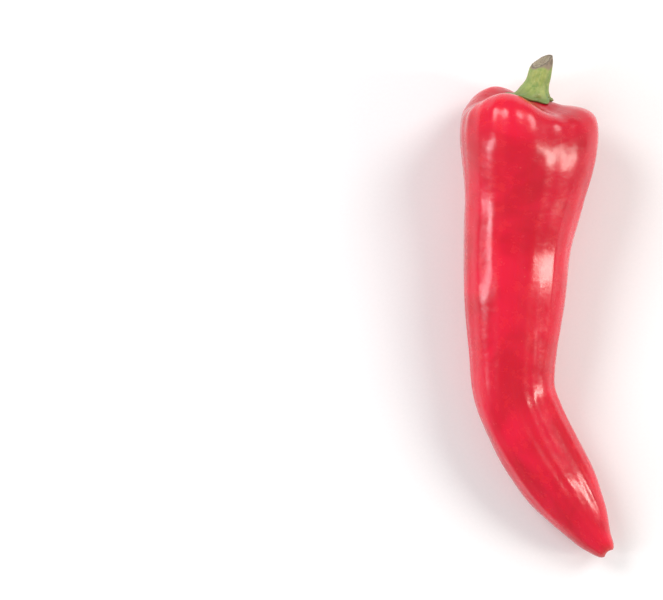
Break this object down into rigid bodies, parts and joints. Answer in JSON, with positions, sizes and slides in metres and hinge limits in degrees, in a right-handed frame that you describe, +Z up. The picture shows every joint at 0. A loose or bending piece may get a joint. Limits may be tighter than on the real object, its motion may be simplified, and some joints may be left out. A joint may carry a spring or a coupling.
{
  "type": "sweet pointed pepper",
  "caption": "Red sweet pointed pepper lying on its side: a bent, tapering, lobed pod with a green calyx and a short dry-cut stem.",
  "frame": {"origin": "bottom centre of the bounding box, on the ground the pepper lies on", "axes": "+Z up, +Y along the pepper from its tip to its stem, +X to the right when looked down on with the stem away"},
  "size_m": [0.0596, 0.1916, 0.048],
  "materials": {
    "red_skin": "waxy, glossy red skin",
    "green_stem": "fibrous matt green, grey-brown at the cut"
  },
  "bodies": {
    "root": {"pod": "red_skin", "stem_with_calyx": "green_stem"}
  },
  "joints": []
}
